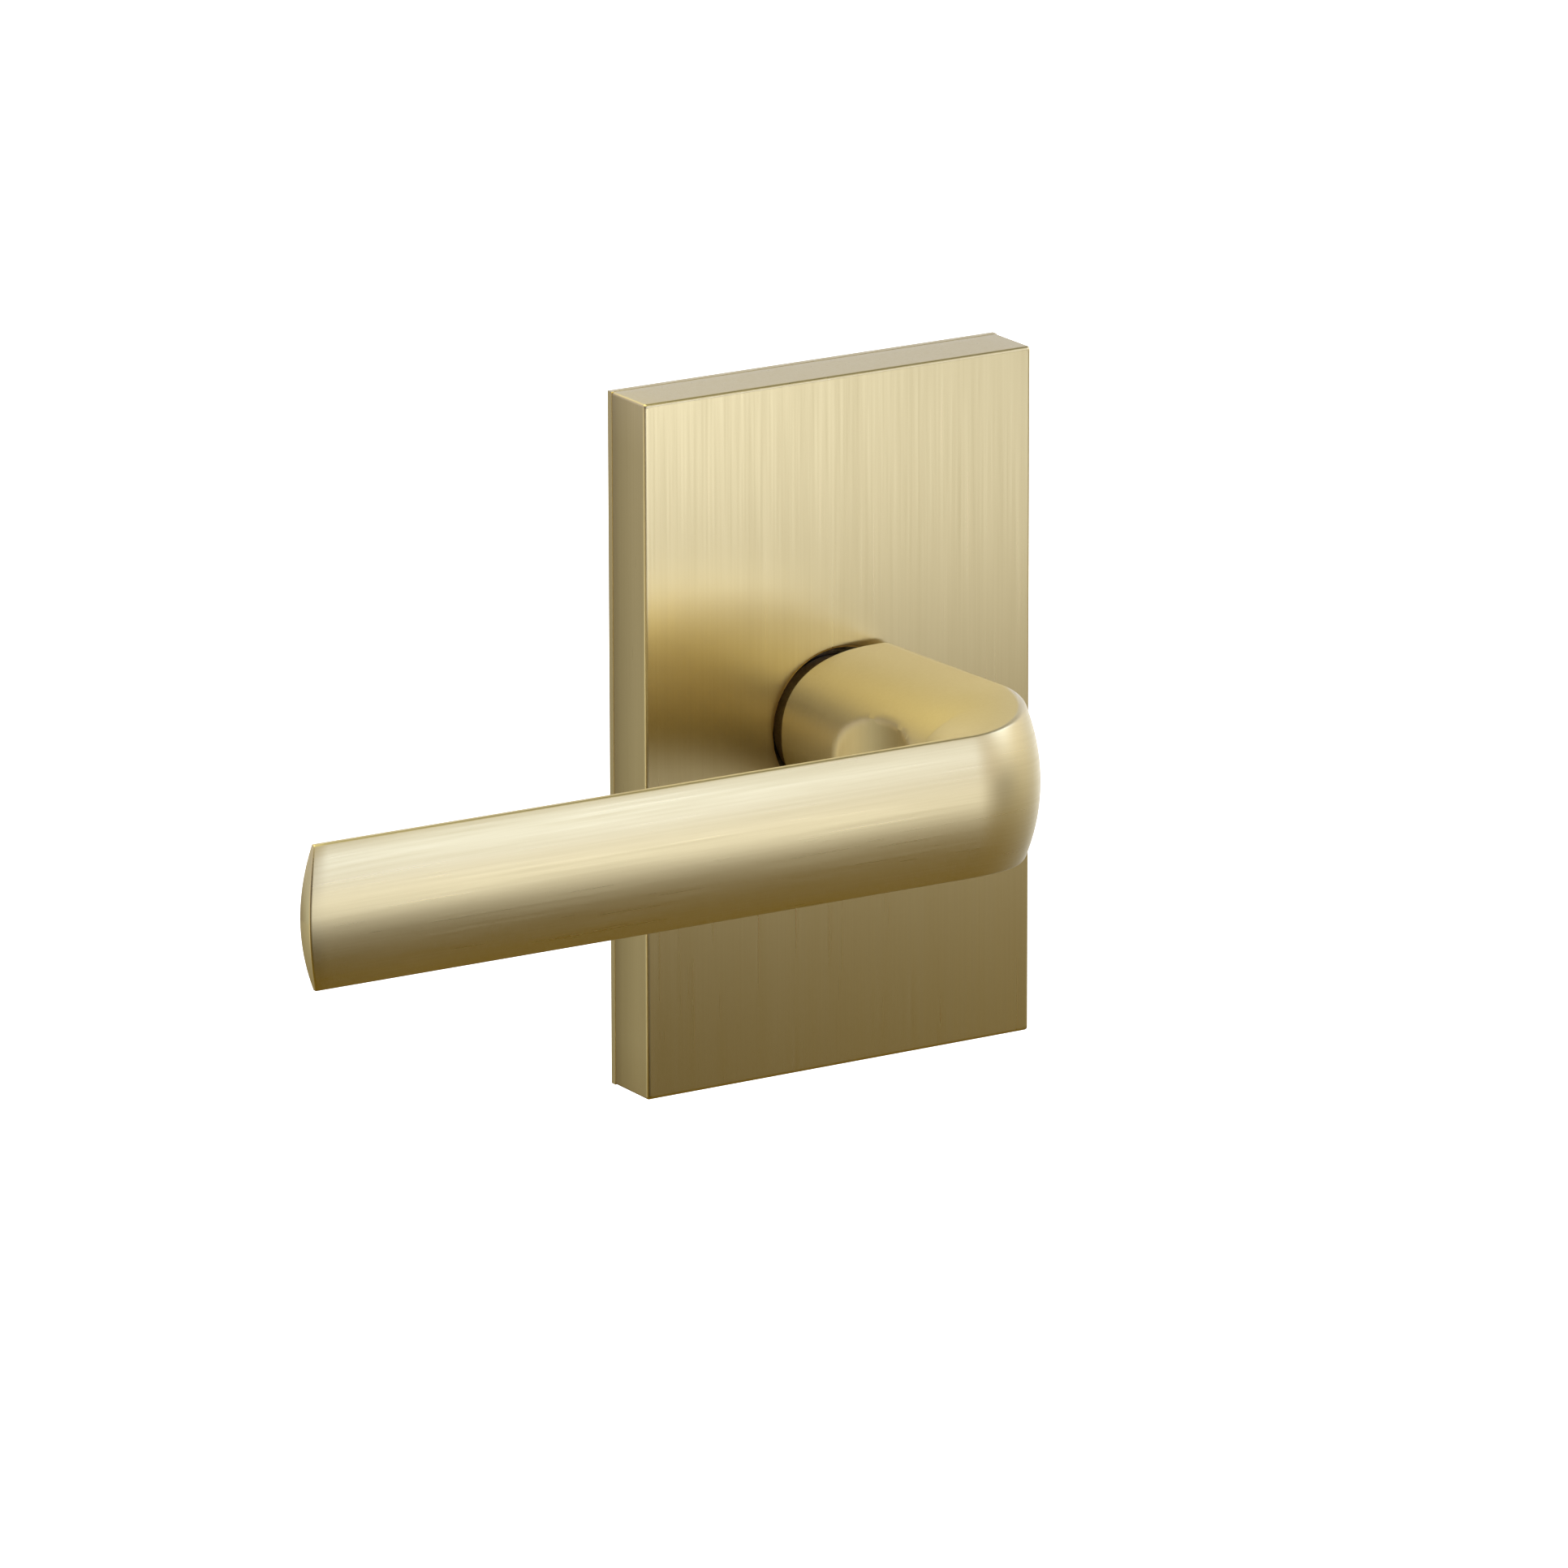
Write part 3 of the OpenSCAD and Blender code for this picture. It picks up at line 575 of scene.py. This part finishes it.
    # brush map: U round the section and V along the lever
    girth = []
    for ring in rings:
        ring = np.array(ring)
        girth.append(np.concatenate([[0], np.cumsum(np.linalg.norm(np.diff(ring, axis=0), axis=1))]))
    uv = obj.data.uv_layers.new(name="brush")
    for poly in obj.data.polygons:
        ks = [obj.data.loops[i].vertex_index % size for i in poly.loop_indices]
        wraps = max(ks) - min(ks) > size // 2
        poly.material_index = 0 if min(ks) < front - 1 and not wraps else 1
        for i in poly.loop_indices:
            v = obj.data.loops[i].vertex_index
            ring, k = divmod(v, size)
            u = girth[ring][k]
            if wraps and k < size // 2:
                u = girth[ring][-1] + (GRIP_T + u)
            uv.data[i].uv = (u * MM, distance[ring] * MM)

    socket = rod("socket", SOCKET_R, (0, hub_low[1] - 1, 0), (0, lever_high[1] + 1, 0), 128)
    boolean(obj, socket, "DIFFERENCE")
    release = rod("release", RELEASE_R, (0, RELEASE_Y, -13), (0, RELEASE_Y, -4), 48)
    boolean(obj, release, "DIFFERENCE")
    smooth(obj, 32)
    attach(obj, "lever")
    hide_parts("lever_handle")


def make_lever_collar():
    """The turned end of the lever, which passes through the rose."""
    front, back, edge = cover_low[1] - NECK_GAP - 1, lever_high[1], 0.25
    outline = [
        (SOCKET_R, front), (COLLAR_R, front), (COLLAR_R, back - edge), (COLLAR_R - edge, back),
        (SOCKET_R + edge, back), (SOCKET_R, back - edge),
    ]
    turns = np.linspace(0, 2 * math.pi, 128, endpoint=False)
    rings = [[(r * math.cos(a), y, r * math.sin(a)) for a in turns] for r, y in outline]
    points, faces = loft(rings + [rings[0]])
    kept = len(rings) * len(turns)
    obj = new_object("lever_collar", points[:kept], [tuple(p % kept for p in f) for f in faces])
    smooth(obj, 30)
    # painted shade: the collar takes the darker brass that stands for the shade in the rose's hole
    obj.data.materials.append(collar_shaded_brass)
    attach(obj, "lever")
    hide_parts("lever_handle")


# ---- springs ----

def make_wire(name, path, sides, radius, per_ring=14):
    """A closed round wire along a path; sides[i] is square to the path at point i."""
    path, sides = np.array(path, float), np.array(sides, float)
    rings = []
    for i, p in enumerate(path):
        t = path[min(i + 1, len(path) - 1)] - path[max(i - 1, 0)]
        t /= np.linalg.norm(t)
        s = sides[i] - (sides[i] @ t) * t
        s /= np.linalg.norm(s)
        b = np.cross(t, s)
        rings.append([
            p + radius * (math.cos(a) * s + math.sin(a) * b)
            for a in np.linspace(0, 2 * math.pi, per_ring, endpoint=False)
        ])
    points, faces = loft(rings)
    faces += [tuple(range(per_ring)), tuple(range(len(points) - per_ring, len(points)))]
    obj = new_object(name, points, faces)
    smooth(obj, 60)
    obj.data.materials.append(spring_wire)
    return obj


def make_return_spring():
    low, high = corners("return_spring")
    wire = 0.8
    coil_r = 12.3
    first, last = low[1] + 2.05 + wire, high[1] - 1.9 - wire
    turns, lead = 3, math.radians(5)

    def at(a, y):
        return (coil_r * math.cos(a), y, coil_r * math.sin(a))

    path = [at(-lead, low[1]), at(-lead, first - 1.3), at(-lead, first - 0.7), at(-lead * 0.7, first - 0.2)]
    angles = [-lead, -lead, -lead, -lead * 0.7]
    count = turns * 40
    for i in range(count + 1):
        a = 2 * math.pi * turns * i / count
        path.append(at(a, first + (last - first) * i / count))
        angles.append(a)
    path += [at(lead * 0.7, last + 0.2), at(lead, last + 0.7), at(lead, last + 1.3), at(lead, high[1])]
    angles += [lead * 0.7, lead, lead, lead]
    sides = [(math.cos(a), 0, math.sin(a)) for a in angles]
    obj = make_wire("return_spring_coil", path, sides, wire)
    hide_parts("return_spring")
    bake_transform(obj)


def make_catch_spring():
    low, high = corners("catch_spring")
    wire, turns = 0.25, 5
    centre = (low + high) / 2
    coil_r = (high[0] - low[0]) / 2 - wire
    count = turns * 28
    path, sides = [], []
    for i in range(count + 1):
        a = 2 * math.pi * turns * i / count
        z = low[2] + wire + (high[2] - low[2] - 2 * wire) * i / count
        path.append((coil_r * math.cos(a), centre[1] + coil_r * math.sin(a), z))
        sides.append((math.cos(a), math.sin(a), 0))
    obj = make_wire("catch_spring_coil", path, sides, wire, 10)
    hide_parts("catch_spring")
    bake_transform(obj)


make_rose_cover()
make_lever()
make_lever_collar()
make_return_spring()
make_catch_spring()


# ---- camera ----

def direction(azimuth, elevation):
    """From the object towards the camera, both angles in degrees; azimuth 0 is in front."""
    a, e = math.radians(azimuth), math.radians(elevation)
    return Vector((math.sin(a) * math.cos(e), -math.cos(a) * math.cos(e), math.sin(e)))


camera_data = bpy.data.cameras.new("camera")
camera = bpy.data.objects.new("camera", camera_data)
bpy.context.scene.collection.objects.link(camera)
camera_data.lens = 285.7
camera_data.sensor_width = 36.0
camera_data.clip_start, camera_data.clip_end = 0.05, 50.0
camera.location = (-0.8929, -1.4351, 0.4705)
back = direction(-31.80, 15.91)
camera.rotation_mode = "QUATERNION"
roll = Matrix.Rotation(math.radians(-0.11), 4, back)
camera.rotation_quaternion = roll.to_quaternion() @ (-back).to_track_quat("-Z", "Y")
bpy.context.scene.camera = camera


# ---- stage ----

def make_floor():
    size, drop = 8.0, 0.30
    mesh = bpy.data.meshes.new("floor")
    z = cad_low.z - drop
    square = [(-size, -size, z), (size, -size, z), (size, size, z), (-size, size, z)]
    mesh.from_pydata(square, [], [(0, 1, 2, 3)])
    floor = bpy.data.objects.new("floor", mesh)
    bpy.context.scene.collection.objects.link(floor)
    m, n = new_material("floor")
    shader = n.add("ShaderNodeBsdfPrincipled")
    shader.inputs["Base Color"].default_value = (0.9, 0.9, 0.9, 1)
    shader.inputs["Roughness"].default_value = 0.9
    shader.inputs["Emission Color"].default_value = (1, 1, 1, 1)
    shader.inputs["Emission Strength"].default_value = 1.0
    # clear from below, so that the underside can be seen
    below = n.add("ShaderNodeNewGeometry").outputs["Backfacing"]
    clear = n.add("ShaderNodeBsdfTransparent").outputs[0]
    finish_material(n, n.add("ShaderNodeMixShader", {0: below, 1: shader.outputs[0], 2: clear}).outputs[0])
    mesh.materials.append(m)
    floor.visible_glossy = False


def make_world():
    world = bpy.data.worlds.new("studio")
    bpy.context.scene.world = world
    world.use_nodes = True
    n = Nodes(world.node_tree)
    plain = n.add("ShaderNodeBackground")
    plain.inputs["Color"].default_value = (1, 1, 1, 1)
    n.add("ShaderNodeOutputWorld", {"Surface": plain.outputs[0]})


# The object stands in a round light tent, which the camera doesn't see.
# Heights and bearings are in degrees seen from the object, with bearing 0 in front.
TENT_R = 0.45
TENT_GROUND = (0.17, 0.11, 0.01)
TENT_MIDDLE = (0.49, 0.43, 0.44)
TENT_TOP = (1.85, 1.68, 0.82)
HORIZON, HORIZON_SOFTNESS = 0.0, 4.3
TOP_FROM, TOP_SOFTNESS = 55.0, 12.0
# bearing, height, half width, half height, colour
CARDS = [
    (8, -7, 36, 5, (3.15, 3.28, 3.40)),
    (16, 18, 15, 8, (1.45, 1.80, 2.45)),
    (-63, 65, 42, 20, (0.68, 0.66, 0.31)),
    (71, 7, 41, 21, (0.54, 0.50, 0.31)),
    (-123, -15, 13, 25, (0.38, 0.45, 0.44)),
    (140, 9, 58, 51, (0.23, 0.31, 0.45)),
    (-97, -11, 8, 14, (1.47, 1.34, 0.93)),
    (138, -12, 32, 11, (0.72, 0.72, 0.70)),
    (66, 28, 13, 10, (2.10, 2.60, 3.60)),
]
# bearing, height, half width, half height, share of the light that it takes away
FLAGS = [
    (-45, 17, 35, 25, 0.97),
    (-11, -26, 30, 19, 0.97),
    (82, 64, 35, 35, 0.97),
    (50, -5, 23, 6, 0.97),
]


def make_tent():
    """A sphere of soft light, brighter at its cards and dark at its flags."""
    mesh = bpy.data.meshes.new("light_tent")
    bm = bmesh.new()
    bmesh.ops.create_uvsphere(bm, u_segments=48, v_segments=32, radius=TENT_R)
    bm.to_mesh(mesh)
    bm.free()
    tent = bpy.data.objects.new("light_tent", mesh)
    bpy.context.scene.collection.objects.link(tent)
    tent.visible_camera = False

    m, n = new_material("light_tent")
    m.cycles.emission_sampling = "NONE"
    toward = n.vector("NORMALIZE", n.add("ShaderNodeTexCoord").outputs["Object"])
    parts = n.add("ShaderNodeSeparateXYZ", {"Vector": toward})
    forward = n.math("MULTIPLY", parts.outputs["Y"], -1.0)
    bearing = n.math("DEGREES", n.math("ARCTAN2", parts.outputs["X"], forward))
    height = n.math("DEGREES", n.math("ARCSINE", parts.outputs["Z"]))

    def step(at, softness):
        """Rises from 0 to 1 round a height."""
        power = n.math("EXPONENT", n.math("DIVIDE", n.math("SUBTRACT", at, height), softness))
        return n.math("DIVIDE", 1.0, n.math("ADD", power, 1.0))

    def spot(at_bearing, at_height, half_w, half_h):
        """1 at a place, falling off smoothly round it."""
        off = n.math("SUBTRACT", bearing, at_bearing)
        turned = n.add("ShaderNodeMath", {0: off, 1: 180.0, 2: -180.0}, operation="WRAP").outputs[0]
        across = n.math("MULTIPLY", turned, math.cos(math.radians(at_height)) / half_w)
        up = n.math("DIVIDE", n.math("SUBTRACT", height, at_height), half_h)
        far = n.math("ADD", n.math("MULTIPLY", across, across), n.math("MULTIPLY", up, up))
        return n.math("EXPONENT", n.math("MULTIPLY", far, -1.0))

    colour = mix_colours(n, step(HORIZON, HORIZON_SOFTNESS), TENT_GROUND, TENT_MIDDLE)
    colour = mix_colours(n, step(TOP_FROM, TOP_SOFTNESS), colour, TENT_TOP)
    for *place, card in CARDS:
        lit = n.add("ShaderNodeVectorMath", {0: card, "Scale": spot(*place)}, operation="SCALE").outputs[0]
        colour = n.vector("ADD", colour, lit)
    for *place, share in FLAGS:
        left = n.math("SUBTRACT", 1.0, n.math("MULTIPLY", spot(*place), share))
        colour = n.add("ShaderNodeVectorMath", {0: colour, "Scale": left}, operation="SCALE").outputs[0]
    glow = n.add("ShaderNodeEmission", {"Color": colour})
    finish_material(n, glow.outputs[0])
    mesh.materials.append(m)


make_floor()
make_world()
make_tent()
bpy.context.scene.view_settings.view_transform = "Standard"
